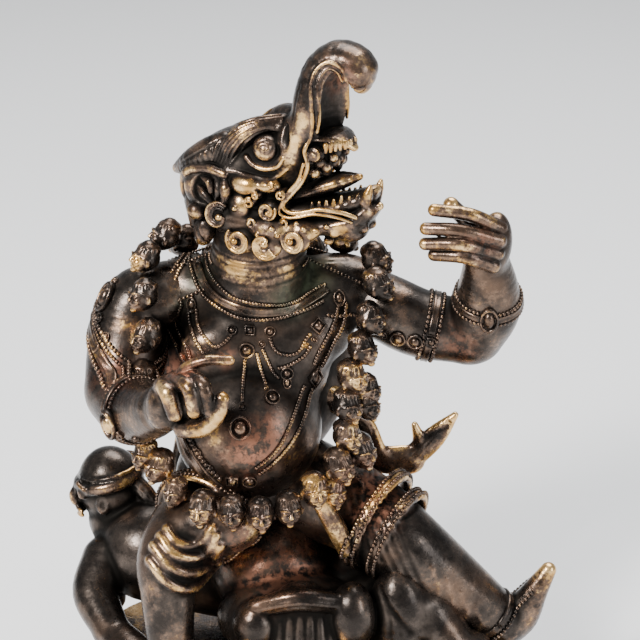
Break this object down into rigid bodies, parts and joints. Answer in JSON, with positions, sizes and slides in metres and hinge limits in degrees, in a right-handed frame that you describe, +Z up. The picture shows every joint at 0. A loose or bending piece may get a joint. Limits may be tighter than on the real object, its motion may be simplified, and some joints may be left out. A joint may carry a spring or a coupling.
{
  "type": "gilt bronze deity figure",
  "caption": "Standing cast bronze deity with an elephant-trunked beast head and a garland of heads, astride a crawling man on an oval lotus plinth.",
  "frame": {"origin": "middle of the plinth's flat underside", "axes": "+Z up, -Y towards the figure's front, +X towards the figure's raised left hand"},
  "size_m": [0.135, 0.0798, 0.1922],
  "materials": {
    "gilt_bronze": "dark brown patina over cast bronze, gilding left on the raised parts, semi-gloss",
    "dark_bronze": "dark brown patina with a gray sheen, a little gilding left, semi-gloss",
    "plinth_bronze": "dark brown patina with rubbed gilding on the petals, semi-gloss"
  },
  "bodies": {
    "root": {"deity_figure": "gilt_bronze", "mount_figure": "dark_bronze", "lotus_plinth": "plinth_bronze"}
  },
  "joints": []
}
